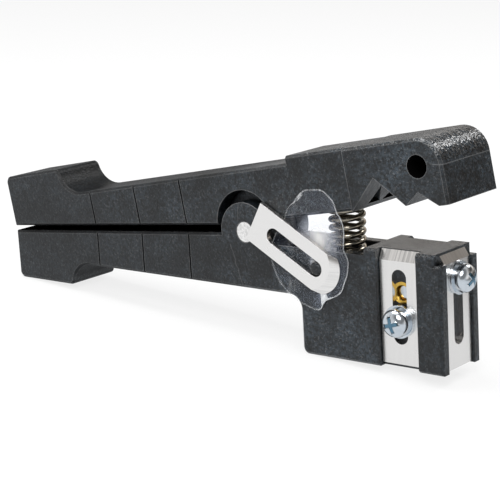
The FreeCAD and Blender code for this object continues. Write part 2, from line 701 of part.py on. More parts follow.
# Drop of the edge, bevel and slot margin of the two kinds of straight blade.
SIDE_BLADE = ("blade_edge_drop", "blade_bevel", "blade_slot_margin")
END_BLADE = ("end_edge_drop", "end_blade_bevel", "end_slot_margin")
washer_seat = -number("blade_thickness + clamp_play")
lock_seat = washer_seat - number("washer_thickness")
screw_seat = -number(SCREW_SEAT)
for name, seat, drop, length in seats:
    level = -number(drop)
    insert_length = "end_insert_length" if name == "end" else "2 * " + CORE_HALF
    bore = "screw_radius + thread_gap"
    shank_hole = "screw_radius + washer_play"
    edge_drop, bevel, margin = END_BLADE if name == "end" else SIDE_BLADE
    lower[name + "_blade"] = (
        make_blade(name + "_blade", bevel, margin), seat * place(up=-number("block_top + " + edge_drop)))
    lower[name + "_insert"] = (
        make_ring(name + "_insert", "insert_radius", bore, insert_length),
        seat * place(0, number(insert_length), level))
    lower[name + "_flat_washer"] = (
        make_ring(name + "_flat_washer", "washer_radius", shank_hole, "washer_thickness"),
        seat * place(0, washer_seat, level))
    lower[name + "_lock_washer"] = (
        make_ring(name + "_lock_washer", "lock_washer_radius", shank_hole, "lock_washer_thickness",
                  "lock_washer_split"),
        seat * place(0, lock_seat, level))
    lower[name + "_screw"] = (make_screw(name + "_screw", length), seat * place(0, screw_seat, level))

# Film on the arm's face, and spare blade on the film, with the peg in the nose end of its slot.
spare_turn = rotation((0, 1, 0), number("spare_angle"))
nose_to_slot = FreeCAD.Vector(0, 0, number("blade_slot_margin + blade_slot_width / 2"))
peg = FreeCAD.Vector(number("peg_reach"), 0, -number("peg_drop"))
spare_nose = peg + spare_turn.multVec(nose_to_slot)
film_back = -half_arm - number("spare_play")
lower["retaining_film"] = (make_film(), place(number("film_reach"), film_back, -number("film_drop")))
spare_back = film_back - number("film_thickness + spare_play")
lower["spare_blade"] = (
    make_round_blade("spare_blade"), place(spare_nose.x, spare_back, spare_nose.z, spare_turn))

# Sub-parts of the upper arm.
upper = {}
upper["upper_arm"] = (make_upper_arm(), place())
upper["upper_spring_pin"] = (
    make_round_pin("upper_spring_pin", "anchor_radius", ANCHOR_LENGTH),
    place(number(UPPER_ANCHOR_REACH), 0, number("upper_anchor_rise")))

# The tool stands on its finger stop and the block's heel, whose rounds are alike.
rise = number("block_base - lower_depth - finger_stop_height")
run = number("neck_reach + handle_reach")
lean = rotation((0, 1, 0), -math.degrees(math.atan2(rise, run)))
opened = rotation((0, 1, 0), -number("open_angle"))
standing = place(turned=lean)
sub_parts = dict(lower)
for name, (obj, about_hinge) in upper.items():
    sub_parts[name] = (obj, place(turned=opened) * about_hinge)
for obj, about_hinge in sub_parts.values():
    obj.Placement = standing * about_hinge
doc.recompute()
whole = FreeCAD.BoundBox()
for obj, about_hinge in sub_parts.values():
    whole.add(obj.Shape.optimalBoundingBox(False))
to_origin = place(-whole.Center.x, -whole.Center.y, -whole.ZMin)
for obj, about_hinge in sub_parts.values():
    obj.Placement = to_origin * standing * about_hinge
doc.recompute()

failed = [obj.Name for obj in doc.Objects if "Invalid" in obj.State or "Error" in obj.State]
if failed:
    raise RuntimeError("failed to build: " + ", ".join(failed))
for name, (obj, about_hinge) in sub_parts.items():
    if obj.Shape.isNull() or not obj.Shape.isValid() or len(obj.Shape.Solids) != 1:
        raise RuntimeError("%s is not one sound solid" % name)

os.makedirs("parts", exist_ok=True)
for name, (obj, about_hinge) in sub_parts.items():
    obj.Shape.exportStep("parts/%s.step" % name)
hinge = (to_origin * standing).Base
print("hinge at", [round(part, 4) for part in hinge], "lean", round(math.degrees(math.atan2(rise, run)), 4))
print("box", [round(part, 3) for part in (whole.XLength, whole.YLength, whole.ZLength)])
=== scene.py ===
"""Cable jacket stripper: finishes, spring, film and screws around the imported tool. Metres."""
import json
import math

import bmesh
import bpy
from mathutils import Matrix, Vector


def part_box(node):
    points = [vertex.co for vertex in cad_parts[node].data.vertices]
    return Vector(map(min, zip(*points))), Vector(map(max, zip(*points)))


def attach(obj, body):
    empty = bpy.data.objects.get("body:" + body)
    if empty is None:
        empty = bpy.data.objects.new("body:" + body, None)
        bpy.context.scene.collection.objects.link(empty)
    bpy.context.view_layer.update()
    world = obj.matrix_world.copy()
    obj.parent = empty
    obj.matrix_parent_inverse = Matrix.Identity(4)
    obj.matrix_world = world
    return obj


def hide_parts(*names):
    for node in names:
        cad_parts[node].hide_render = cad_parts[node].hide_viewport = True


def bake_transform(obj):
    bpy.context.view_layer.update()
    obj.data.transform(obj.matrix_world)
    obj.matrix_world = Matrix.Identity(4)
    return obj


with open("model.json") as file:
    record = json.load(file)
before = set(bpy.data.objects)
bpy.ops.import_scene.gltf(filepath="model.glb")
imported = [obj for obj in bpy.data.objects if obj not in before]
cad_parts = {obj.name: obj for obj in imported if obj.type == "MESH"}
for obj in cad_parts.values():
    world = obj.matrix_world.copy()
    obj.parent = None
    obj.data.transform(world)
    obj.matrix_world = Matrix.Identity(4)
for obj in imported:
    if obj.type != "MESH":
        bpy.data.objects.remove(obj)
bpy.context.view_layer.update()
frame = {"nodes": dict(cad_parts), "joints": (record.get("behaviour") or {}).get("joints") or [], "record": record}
record = frame["record"]
nodes = frame["nodes"]
MM = 0.001
# Points closer than this are one point, in the millimetres of the pieces made here.
MERGE = 1e-5

# The hinge and the lean of the lower arm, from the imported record, give the tool's own frame:
# millimetres about the hinge, +X along the lower arm to the jaws and +Z up from it.
joints = {joint["name"]: joint for joint in frame["joints"]}
mounts = {mount["name"]: mount for mount in record["mounts"]}
hinge = Vector(joints["jaw"]["pos_m"])
base_normal = mounts["block_base"]["axis"]
lean = math.atan2(base_normal[0], -base_normal[2])
tool_turn = Matrix.Rotation(-lean, 4, "Y")
tool = Matrix.Translation(hinge) @ tool_turn @ Matrix.Scale(MM, 4)
tool_up = tool_turn @ Vector((0, 0, 1))
tool_ahead = tool_turn @ Vector((1, 0, 0))


class Value:
    """One shader socket. Arithmetic on it adds Math nodes to its material."""

    def __init__(self, finish, socket):
        self.finish = finish
        self.socket = socket

    def __add__(self, other):
        return self.finish.math("ADD", self, other)

    def __sub__(self, other):
        return self.finish.math("SUBTRACT", self, other)

    def __rsub__(self, other):
        return self.finish.math("SUBTRACT", other, self)

    def __mul__(self, other):
        return self.finish.math("MULTIPLY", self, other)

    __radd__ = __add__
    __rmul__ = __mul__


class Graph:
    """The nodes of one material, or of the world."""

    def __init__(self, tree):
        self.tree = tree
        self.tree.nodes.clear()
        self.place = self.node("TexCoord", output="Object")
        self.facing = self.node("TexCoord", output="Normal")

    def node(self, kind, settings=None, inputs=None, output=0):
        """Adds a node: its settings first, then the values or links of its sockets."""
        node = self.tree.nodes.new("ShaderNode" + kind)
        for name, setting in (settings or {}).items():
            if name == "stops":
                self.set_stops(node.color_ramp, setting)
            else:
                setattr(node, name, setting)
        for name, value in (inputs or {}).items():
            if isinstance(value, Value):
                self.tree.links.new(value.socket, node.inputs[name])
            else:
                node.inputs[name].default_value = value
        return Value(self, node.outputs[output])

    def set_stops(self, ramp, stops):
        while len(ramp.elements) < len(stops):
            ramp.elements.new(1.0)
        for element, (position, shade) in zip(ramp.elements, stops):
            element.position = position
            element.color = (shade, shade, shade, 1.0)

    def math(self, operation, *values):
        return self.node("Math", {"operation": operation}, dict(enumerate(values)))

    def largest(self, first, *others):
        """The largest of some values."""
        for other in others:
            first = self.math("MAXIMUM", first, other)
        return first

    def size(self, value):
        """A value without its sign."""
        return self.math("ABSOLUTE", value)

    def stretched(self, scale, turn=(0.0, 0.0, 0.0)):
        """Object coordinates, scaled differently along each axis and then turned."""
        return self.node("Mapping", inputs={"Vector": self.place, "Scale": scale, "Rotation": turn})

    def noise(self, scale, detail=2.0, roughness=0.5, vector=None):
        return self.node("TexNoise", inputs={
            "Vector": vector or self.place, "Scale": scale, "Detail": detail, "Roughness": roughness})

    def ramp(self, value, *stops):
        return self.node("ValToRGB", {"stops": stops}, {"Fac": value})

    def mix(self, factor, first, second):
        """Blends two colours."""
        return self.node("Mix", {"data_type": "RGBA"}, {0: factor, 6: first, 7: second}, 2)

    def rounded(self, radius):
        """The normal of edges that look rounded by a radius."""
        return self.node("Bevel", {"samples": 6}, {"Radius": radius})

    def bump(self, height, strength, distance, edge=0.0):
        """Relief of a height, on edges that look rounded by the radius given as edge."""
        inputs = {"Height": height, "Strength": strength, "Distance": distance}
        if edge:
            inputs["Normal"] = self.rounded(edge)
        return self.node("Bump", inputs=inputs)

    def fade(self, value, start, end):
        """0 up to the start, 1 from the end on and even between them; the end may be below the start."""
        return self.node("MapRange", inputs={"Value": value, "From Min": start, "From Max": end})

    def openness(self, reach, **settings):
        """1 where the surface is open, and less where others are within a reach in metres."""
        return self.node("AmbientOcclusion", {"samples": 6, **settings}, {"Distance": reach}, "AO")

    def along(self, direction, vector=None):
        """Object coordinates, or another vector, measured along one direction."""
        return self.node("VectorMath", {"operation": "DOT_PRODUCT"},
                         {0: vector or self.place, 1: direction}, "Value")

    def ahead(self):
        """Metres ahead of the hinge, along the lower arm."""
        return self.along(tool_ahead) - tool_ahead.dot(hinge)

    def above(self):
        """Metres above the hinge, square to the lower arm."""
        return self.along(tool_up) - tool_up.dot(hinge)

    def distance(self, place, spot):
        """How far a place is from a spot, in metres."""
        return self.node("VectorMath", {"operation": "DISTANCE"}, {0: place, 1: spot}, "Value")

    def close_to(self, spot, reach):
        """1 at a spot of the tool's frame, fading to 0 at a reach in millimetres."""
        return self.fade(self.distance(self.place, tool @ spot), reach * MM, 0.0)

    def line(self, start, end, width, wobble):
        """1 on a thin line from start to end, given as millimetres ahead of the hinge and above it. Wobble is
        how far the line strays, in metres."""
        run = (Vector(end) - Vector(start)) * MM
        way = run.normalized()
        ahead = self.ahead() - start[0] * MM + wobble
        above = self.above() - start[1] * MM + wobble
        travelled = way.x * ahead + way.y * above
        aside = self.size(way.x * above - way.y * ahead)
        return self.fade(self.largest(aside, 0.0 - travelled, travelled - run.length), width * MM, 0.0)

    def end(self, shader, kind="OutputMaterial"):
        output = self.tree.nodes.new("ShaderNode" + kind)
        self.tree.links.new(shader.socket, output.inputs["Surface"])


class Finish(Graph):
    """A material under construction."""

    def __init__(self, name):
        self.material = bpy.data.materials.new(name)
        self.material.use_nodes = True
        super().__init__(self.material.node_tree)

    def surface(self, **sockets):
        """Ends the material with a Principled shader: the names of its sockets have _ for blanks."""
        self.end(self.node("BsdfPrincipled", inputs={
            name.replace("_", " "): value for name, value in sockets.items()}))
        return self.material


def grey(level, warm=0.0):
    """A colour close to grey; warm above 0 leans to yellow, below 0 to blue."""
    return (level * (1 + warm), level, level * (1 - warm), 1.0)


# The slit between the handles, in metres about the hinge: where the lower handle's inner face starts, how
# low, its slope, and how wide the slit is.
SLIT_START = -0.0072
SLIT_DROP = -0.0008
SLIT_SLOPE = 0.0835
SLIT_OPENING = 0.0025
# How near other surfaces of the same arm make a groove, and the other arm covers a face, in metres.
GROOVE_REACH = 0.0016
COVER_REACH = 0.007
# Seam of the mould across the jaw's end, in metres above the hinge, and its half width.
SEAM_RISE = 0.0203
SEAM_HALF_WIDTH = 0.00016
# Scratches on the front, each from and to millimetres ahead of the hinge and above it; their width, also in
# millimetres, and how far they stray, in metres.
SCRATCHES = [
    ((-1.6, 6.6), (-1.9, 2.6)),
    ((-4.6, -3.4), (-1.6, -13.0)),
]
SCRATCH_WIDTH = 0.14
SCRATCH_WOBBLE = 0.0009
# Radius of the edges as they look, and of the band along them that is painted pale, partly as wear and partly as a
# painted highlight, in metres.
EDGE_ROUND = 0.00025
EDGE_PALE_BAND = 0.00045
# Borders of the tool's zones, in metres ahead of the hinge, or above it for those named rise: where each
# starts and where it is full. The fore part is the jaw and the block.
HANDLE_PART = (0.005, -0.005)
RUBBED_PART = (-0.050, 0.010)
FORE_PART = (0.005, 0.020)
JAW_END = (0.054, 0.055)
JAW_RISE = (0.008, 0.012)
BLOCK_PART = (0.028, 0.032)
BLOCK_RISE = (0.008, 0.004)
# Past this border the film is brighter: a painted highlight on its right side.
FILM_LIT_SIDE = (0.018, 0.028)


def crevices(finish, ahead, above, flat):
    """Gives two masks: how open the surface is, and how much painted black shade it takes. The shade is painted
    in grooves, in the hanging hole and between the handles, and less of it on the handles' tops and undersides."""
    openness = finish.openness(GROOVE_REACH, only_local=True)
    hole = Vector(mounts["hang_hole"]["pos_m"])
    hole_radius = mounts["hang_hole"]["dims"]["r_mm"] * MM
    level = finish.node("VectorMath", {"operation": "MULTIPLY"}, {0: finish.place, 1: (1.0, 0.0, 1.0)})
    bored = finish.fade(finish.distance(level, hole), hole_radius * 1.03, hole_radius * 1.01)
    over_face = above - SLIT_DROP - SLIT_SLOPE * (ahead - SLIT_START)
    off_middle = finish.size(over_face - SLIT_OPENING / 2)
    in_slit = finish.fade(off_middle, SLIT_OPENING * 0.7, SLIT_OPENING * 0.6)
    in_slit = in_slit * finish.fade(ahead, SLIT_START, SLIT_START - MM) * finish.fade(flat, 0.80, 0.90)
    between = in_slit * finish.fade(finish.openness(COVER_REACH), 0.85, 0.55)
    grooves = finish.fade(openness, 0.80, 0.50)
    shaded_side = 0.45 * finish.fade(flat, 0.24, 0.40) * finish.fade(ahead, *HANDLE_PART)
    return openness, finish.largest(grooves, bored, between, shaded_side)


def seam_and_scratches(finish, ahead, above):
    """1 on the seam of the mould, and less on the scratches of the front."""
    front = finish.along((0.0, -1.0, 0.0), finish.facing)
    off_seam = finish.size(above - SEAM_RISE)
    marks = finish.fade(off_seam, SEAM_HALF_WIDTH, 0.0) * finish.fade(ahead, *JAW_END)
    wobble = SCRATCH_WOBBLE * (finish.noise(400.0, 2.0, 0.6) - 0.5)
    for first, last in SCRATCHES:
        scratch = finish.line(first, last, SCRATCH_WIDTH, wobble)
        marks = marks + 0.6 * scratch * finish.fade(front, 0.90, 0.95)
    return marks


def moulded_plastic():
    """Black glass-filled nylon: spark grain, coarse and shiny on the jaw's top with streaks of painted sheen
    there, rubbed pale in patches, pale along edges as wear and as a painted highlight, scratched, and with
    painted black shade in its crevices."""
    finish = Finish("moulded_plastic")
    ahead = finish.ahead()
    above = finish.above()
    up = finish.along(tool_up, finish.facing)
    # The second mask is painted black shade, mixed in at the end.
    openness, painted_shade_mix = crevices(finish, ahead, above, finish.size(up))
    marks = seam_and_scratches(finish, ahead, above)
    grain = finish.noise(1450.0, 3.0, 0.7)
    mottle = finish.ramp(grain, (0.38, 0.0), (0.68, 1.0))
    patches = finish.ramp(finish.noise(70.0, 6.0, 0.75), (0.42, 0.0), (0.68, 1.0))
    rubbed = patches * (0.5 + 0.8 * finish.fade(ahead, *RUBBED_PART))
    brushed = finish.stretched((170.0, 1500.0, 1500.0), (0.0, 0.35, 0.0))
    scuffs = finish.ramp(finish.noise(1.0, 3.0, 0.65, brushed), (0.54, 0.0), (0.72, 1.0))
    flecks = finish.ramp(finish.noise(2100.0, 1.0, 0.5), (0.60, 0.0), (0.72, 1.0))
    turned = finish.along(finish.node("NewGeometry", output="Normal"), finish.rounded(EDGE_PALE_BAND))
    outer_edge = finish.fade(turned, 0.98, 0.88) * finish.fade(openness, 0.80, 0.95)
    off_block = 1.0 - finish.fade(ahead, *BLOCK_PART) * finish.fade(above, *BLOCK_RISE)
    # A patchy pale band along outer edges, kept off the block: partly wear, partly a painted highlight.
    worn_and_highlit_edge = outer_edge * (0.4 + 0.6 * rubbed) * off_block
    topside = finish.fade(up, 0.24, 0.30) * finish.fade(ahead, *FORE_PART)
    jaw_top = topside * finish.fade(above, *JAW_RISE)
    block_top = topside - jaw_top
    pebbles = finish.noise(1250.0, 1.0, 0.5)
    drawn = finish.noise(1.0, 4.0, 0.7, finish.stretched((260.0, 900.0, 0.0)))
    # Pale streaks along the jaw's flat top: a painted sheen.
    painted_top_sheen = jaw_top * finish.fade(up, 0.94, 0.98) * finish.ramp(drawn, (0.42, 0.0), (0.62, 1.0))
    pale = mottle * (0.12 + 0.80 * rubbed) + 0.4 * rubbed * scuffs
    worn = finish.mix(pale, grey(0.001, -0.15), grey(0.060, -0.26))
    flecked = finish.mix(flecks * (0.1 + 0.4 * rubbed) + 0.8 * marks, worn, grey(0.14, -0.03))
    # Edges and the jaw's top are painted paler: wear with a painted highlight, and a painted sheen.
    colour = finish.mix(worn_and_highlit_edge + 0.25 * painted_top_sheen, flecked, grey(0.22))
    roughness = (0.44 - 0.10 * mottle - 0.08 * rubbed) * (1.0 - 0.25 * jaw_top - 0.4 * block_top)
    relief = (grain + 0.3 * flecks) * (1.0 - jaw_top - 0.45 * block_top) + 1.5 * pebbles * jaw_top
    shell = finish.node("BsdfPrincipled", inputs={
        "Base Color": colour, "Roughness": roughness,
        "Normal": finish.bump(relief, 0.7, 0.00022, EDGE_ROUND)})
    # Near-black and matt: mixed in as painted shade.
    dull = finish.node("BsdfDiffuse", inputs={"Color": grey(0.003)})
    finish.end(finish.node("MixShader", inputs={0: painted_shade_mix, 1: shell, 2: dull}))
    return finish.material


def ground_steel(name, level, fine, flat, cut, edge, rougher=-0.06):
    """Bright steel with grinding lines: fine is how often they come along each axis, flat and cut how strong
    they are on the flats and on the bevels. Edge is the radius of the edges as they look, and rougher how
    much rougher the bevels are than the flats."""
    finish = Finish(name)
    lines = finish.ramp(finish.noise(1.0, 2.0, 0.7, finish.stretched(fine)), (0.36, 0.0), (0.64, 1.0))
    across = finish.size(finish.along((0.0, 1.0, 0.0), finish.facing))
    along = finish.size(finish.along(tool_ahead, finish.facing))
    ground = finish.ramp(finish.largest(across, along), (0.92, 1.0), (0.96, 0.0))
    streak = lines * (flat + (cut - flat) * ground)
    colour = finish.mix(streak, grey(level, 0.03), grey(level * 0.55, 0.02))
    roughness = 0.22 + 0.08 * finish.noise(160.0, 3.0, 0.6) + rougher * ground
    return finish.surface(Base_Color=colour, Roughness=roughness, Metallic=1.0,
                          Normal=finish.bump(streak, 0.2, 0.00003, edge))


def plated_steel(name, dull, bright):
    """Zinc plate, a little cloudy, between two colours."""
    finish = Finish(name)
    cloud = finish.noise(420.0, 4.0, 0.65)
    colour = finish.mix(cloud, dull, bright)
    return finish.surface(Base_Color=colour, Roughness=0.12 + 0.14 * cloud, Metallic=1.0,
                          Normal=finish.bump(cloud, 0.06, 0.00003, 0.00012))


def turned_brass():
    """Yellow brass, a little uneven."""
    finish = Finish("turned_brass")
    cloud = finish.noise(900.0, 3.0, 0.7)
    colour = finish.mix(cloud, (0.45, 0.24, 0.03, 1.0), (0.95, 0.66, 0.16, 1.0))
    return finish.surface(Base_Color=colour, Roughness=0.16 + 0.16 * cloud, Metallic=1.0,
                          Normal=finish.bump(cloud, 0.35, 0.0001, 0.00015))


def bright_wire():
    """Oil-tempered spring wire."""
    finish = Finish("spring_wire")
    drawn = finish.noise(700.0, 2.0, 0.5)
    colour = finish.mix(drawn, (0.20, 0.18, 0.14, 1.0), (0.48, 0.44, 0.37, 1.0))
    return finish.surface(Base_Color=colour, Roughness=0.14 + 0.12 * drawn, Metallic=1.0,
                          Normal=finish.bump(drawn, 0.05, 0.00002))


# Whitened patches of the film, in the tool's frame, and how far they reach: a painted glow over the gap
# between the arms, where the white behind shines through, a pale patch beside the peg, and the wrinkle at the
# film's foot.
PAINTED_GAP_GLOW = (Vector((22.0, -7.9, 0.6)), 6.5)
PEG_SMEAR = (Vector((20.3, -7.9, -5.2)), 1.5)
FOOT_CREASE = (Vector((22.5, -7.9, -13.5)), 3.4)


def clear_film(name, tint, base, streak, gloss, left):
    """Thin clear plastic: a haze of a tint, partly the film's cloudiness and partly a painted reflection, with
    white streaks that are painted glints; base and streak are how much they hide, and the last argument is how
    much of that shows on the film's left side, away from the painted highlight on its right side."""
    finish = Finish(name)
    drawn = finish.stretched((420.0, 420.0, 110.0), (0.0, 0.5, 0.0))
    glint = finish.ramp(finish.noise(1.0, 3.0, 0.6, drawn), (0.56, 0.0), (0.72, 1.0))
    cloudy = finish.noise(110.0, 3.0, 0.6)
    right = finish.fade(finish.ahead(), *FILM_LIT_SIDE)
    # A painted glow where the white behind shines through the film over the gap.
    painted_glow = finish.close_to(*PAINTED_GAP_GLOW) * (0.6 + 0.8 * cloudy)
    smear = finish.close_to(*PEG_SMEAR)
    crease = finish.close_to(*FOOT_CREASE)
    hiding = (base * (0.6 + 0.8 * cloudy) + streak * glint) * (left + (1.0 - left) * right)
    hiding = hiding + 0.4 * painted_glow + 0.4 * smear + 2.4 * crease * base
    haze = finish.node("BsdfPrincipled", inputs={
        "Base Color": finish.mix(glint + painted_glow + smear, tint, grey(0.95)), "Roughness": 0.35,
        "Specular IOR Level": gloss})
    clear = finish.node("BsdfTransparent")
    finish.end(finish.node("MixShader", inputs={0: hiding, 1: clear, 2: haze}))
    return finish.material


finishes = {
    "black_plastic": moulded_plastic(),
    "blade_steel": ground_steel(
        "blade_steel", level=0.86, fine=(1300.0, 30.0, 30.0), flat=0.04, cut=0.8, edge=0.00008),
    "zinc_steel": plated_steel("bright_zinc", (0.50, 0.56, 0.62, 1.0), (0.80, 0.83, 0.86, 1.0)),
    "brass": turned_brass(),
    "pin_steel": ground_steel(
        "pin_steel", level=1.0, fine=(900.0, 900.0, 900.0), flat=0.5, cut=0.5, edge=0.0002),
    "spring_steel": bright_wire(),
    "clear_film": clear_film(
        "clear_film", tint=(0.55, 0.62, 0.78, 1.0), base=0.032, streak=0.07, gloss=0.0, left=0.5),
}
# The film's rim and folds, painted bright: a painted highlight where they catch light, and a whitened wrinkle.
film_rim_highlight = clear_film(
    "film_rim_highlight", tint=grey(0.9, -0.03), base=0.22, streak=0.9, gloss=0.5, left=0.35)
end_blade_finish = ground_steel(
    "end_blade_steel", level=0.84, fine=(30.0, 900.0, 30.0), flat=0.04, cut=0.3, edge=0.0, rougher=0.07)
spare_blade_finish = ground_steel(
    "spare_blade_steel", level=0.92, fine=(40.0, 40.0, 1200.0), flat=0.03, cut=0.25, edge=0.00008)
# A darker, bluer zinc for the cross recesses: painted shade in the recess.
recess_shade_finish = plated_steel("shaded_zinc", (0.05, 0.13, 0.20, 1.0), (0.20, 0.34, 0.44, 1.0))
for subpart in record["subparts"]:
    node = nodes[subpart["node"]]
    node.data.materials.clear()
    node.data.materials.append(finishes[subpart["material_slot"]])
nodes["end_blade"].data.materials[0] = end_blade_finish
nodes["spare_blade"].data.materials[0] = spare_blade_finish


def add_piece(name, shape, materials, body=None, sharp=40.0):
    """Makes an object of a finished bmesh, in metres, and lets it ride on a body. Edges sharper than an angle
    in degrees stay sharp."""
    bmesh.ops.recalc_face_normals(shape, faces=shape.faces)
    mesh = bpy.data.meshes.new(name)
    shape.to_mesh(mesh)
    shape.free()
    mesh.shade_smooth()
    mesh.set_sharp_from_angle(angle=math.radians(sharp))
    for material in materials:
        mesh.materials.append(material)
    piece = bpy.data.objects.new(name, mesh)
    bpy.context.scene.collection.objects.link(piece)
    if body:
        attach(piece, body)
    return piece


def basis(origin, along, across):
    """A matrix from millimetres about an origin to metres: +Z runs along, +Y as near to across as can be."""
    z_axis = Vector(along).normalized()
    x_axis = Vector(across).cross(z_axis).normalized()
    y_axis = z_axis.cross(x_axis)
    turn = Matrix((x_axis, y_axis, z_axis)).transposed().to_4x4()
    return Matrix.Translation(origin) @ turn @ Matrix.Scale(MM, 4)


def middle(node):
    low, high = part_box(node)
    return (Vector(low) + Vector(high)) / 2


def close_ends(shape):
    """Fills the open ends of tubes."""
    bmesh.ops.holes_fill(shape, edges=[edge for edge in shape.edges if edge.is_boundary], sides=0)


def turn_round(shape, profile, axis, steps):
    """Turns a line of points fully round an axis through the origin."""
    corners = [shape.verts.new(point) for point in profile]
    lines = [shape.edges.new(pair) for pair in zip(corners, corners[1:])]
    bmesh.ops.spin(shape, geom=corners + lines, cent=(0, 0, 0), axis=axis, angle=math.tau, steps=steps,
                   use_merge=True)
    bmesh.ops.remove_doubles(shape, verts=shape.verts, dist=MERGE)


def wind(shape, ring, axis, centre, degrees, rise, steps):
    """Sweeps a closed ring of vertices round an axis, with a rise in all along it."""
    edges = {edge for vertex in ring for edge in vertex.link_edges}
    bmesh.ops.spin(shape, geom=list(ring) + list(edges), cent=centre, axis=axis, angle=math.radians(degrees),
                   dvec=Vector(axis) * (rise / steps), steps=steps, use_duplicate=False)


# Extension spring, in millimetres about its lower pin.
WIRE_RADIUS = 0.7
COIL_RADIUS = 3.7
PIN_RADIUS = 1.0
HOOK_PLAY = 0.05
COIL_TURNS = 10.5
HOOK_DEGREES = 155


def wire_ring(shape, place, turn):
    """A round section of the spring's wire."""
    matrix = Matrix.Translation(place) @ Matrix.Rotation(math.radians(90), 4, turn)
    return bmesh.ops.create_circle(shape, segments=12, radius=WIRE_RADIUS, matrix=matrix)["verts"]


def add_spring():
    """Round wire in an open coil, with a half-round hook at each end over its pin."""
    low = middle("lower_spring_pin")
    high = middle("upper_spring_pin")
    hook = COIL_RADIUS - WIRE_RADIUS - PIN_RADIUS - HOOK_PLAY
    length = (high - low).length / MM - 2 * hook
    shape = bmesh.new()
    start = Vector((COIL_RADIUS, 0, hook))
    end = Vector((-COIL_RADIUS, 0, hook + length))
    wind(shape, wire_ring(shape, start, "X"), (0, 0, 1), (0, 0, 0), 360 * COIL_TURNS, length,
         round(36 * COIL_TURNS))
    for bend in (start, end):
        wind(shape, wire_ring(shape, bend, "Z"), (0, 1, 0), (0, 0, bend.z), HOOK_DEGREES, 0, 18)
        bmesh.ops.create_icosphere(shape, subdivisions=2, radius=WIRE_RADIUS, matrix=Matrix.Translation(bend))
    close_ends(shape)
    bmesh.ops.transform(shape, matrix=basis(low, high - low, (0, 1, 0)), verts=shape.verts)
    spring = add_piece("spring_wire", shape, [finishes["spring_steel"]])
    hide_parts("jaw_spring")
    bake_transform(spring)


# Pan head screws with a cross recess, in millimetres: seat at the origin, head up, shank down.
HEAD_RADIUS = 3.3
HEAD_HEIGHT = 2.4
HEAD_RIM = 0.25
HEAD_STEPS = 10
SHANK_RADIUS = 1.75
CORE_RADIUS = 1.45
THREAD_PITCH = 0.7
THREAD_HALF_WIDTH = 0.3
THREAD_SUNK = 0.1
PLAIN_TIP = 0.4
PLAIN_LENGTH = 1.0
RECESS_HALF_LENGTH = 1.9
RECESS_HALF_WIDTH = 0.42
RECESS_DEPTH = 1.7
RECESS_FLOOR = HEAD_HEIGHT - RECESS_DEPTH
RECESS_TAPER = 0.5
LEVEL_SLACK = 0.001


def in_cross(point):
    """True inside the outline of the cross recess."""
    longer = max(abs(point.x), abs(point.y))
    shorter = min(abs(point.x), abs(point.y))
    return longer < RECESS_HALF_LENGTH and shorter < RECESS_HALF_WIDTH


def form_head(shape):
    """A domed head with a tapered cross recess, whose faces take the second material, a darker zinc that paints
    the recess's shade.
    """
    profile = [(0, 0, 0), (HEAD_RADIUS, 0, 0)]
    for step in range(HEAD_STEPS, -1, -1):
        across = math.sin(math.radians(90 * step / HEAD_STEPS))
        rise = HEAD_RIM + (HEAD_HEIGHT - HEAD_RIM) * (1 - across ** 2.4) ** 0.55
        profile.append((HEAD_RADIUS * across, 0, rise))
    turn_round(shape, profile, (0, 0, 1), 48)
    bmesh.ops.recalc_face_normals(shape, faces=shape.faces)
    for axis in ((1, 0, 0), (0, 1, 0)):
        for reach in (RECESS_HALF_WIDTH, RECESS_HALF_LENGTH):
            for side in (reach, -reach):
                bmesh.ops.bisect_plane(shape, geom=shape.verts[:] + shape.edges[:] + shape.faces[:],
                                       dist=MERGE, plane_co=Vector(axis) * side, plane_no=axis)
    top = [face for face in shape.faces if face.normal.z > 0.2 and in_cross(face.calc_center_median())]
    floor = bmesh.ops.extrude_face_region(shape, geom=top)["geom"]
    for vertex in [part for part in floor if isinstance(part, bmesh.types.BMVert)]:
        vertex.co = (vertex.co.x * RECESS_TAPER, vertex.co.y * RECESS_TAPER, RECESS_FLOOR)
    for face in shape.faces:
        spot = face.calc_center_median()
        if in_cross(spot) and spot.z > RECESS_FLOOR - LEVEL_SLACK:
            face.material_index = 1


def form_shank(shape, length):
    """A core with a thread wound round it."""
    bmesh.ops.create_cone(shape, cap_ends=True, segments=24, radius1=CORE_RADIUS, radius2=CORE_RADIUS,
                          depth=length, matrix=Matrix.Translation((0, 0, -length / 2)))
    root = CORE_RADIUS - THREAD_SUNK
    section = [(root, -THREAD_HALF_WIDTH), (SHANK_RADIUS, 0.0), (root, THREAD_HALF_WIDTH)]
    tooth = [shape.verts.new((reach, 0, PLAIN_TIP - length + rise)) for reach, rise in section]
    for first, second in zip(tooth, tooth[1:] + tooth[:1]):
        shape.edges.new((first, second))
    threaded = length - PLAIN_LENGTH
    turns = threaded / THREAD_PITCH
    wind(shape, tooth, (0, 0, 1), (0, 0, 0), 360 * turns, threaded, round(20 * turns))
    close_ends(shape)


def add_screw(name, recess_turn):
    """A screw in the place of its node, with its recess turned by some degrees."""
    joint = joints[name + "_turn"]
    pivot = Vector(joint["pos_m"])
    out = Vector(joint["axis"])
    levels = [(vertex.co - pivot).dot(out) for vertex in nodes[name].data.vertices]
    seat = max(levels) - HEAD_HEIGHT * MM
    shape = bmesh.new()
    form_head(shape)
    form_shank(shape, (seat - min(levels)) / MM)
    across = (0, 0, 1) if abs(out.z) < 0.5 else (0, 1, 0)
    spin = Matrix.Rotation(math.radians(recess_turn), 4, "Z")
    bmesh.ops.transform(shape, matrix=basis(pivot + out * seat, out, across) @ spin, verts=shape.verts)
    screw = add_piece(name + "_detail", shape, [finishes["zinc_steel"], recess_shade_finish], name + "_set", 30.0)
    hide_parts(name)


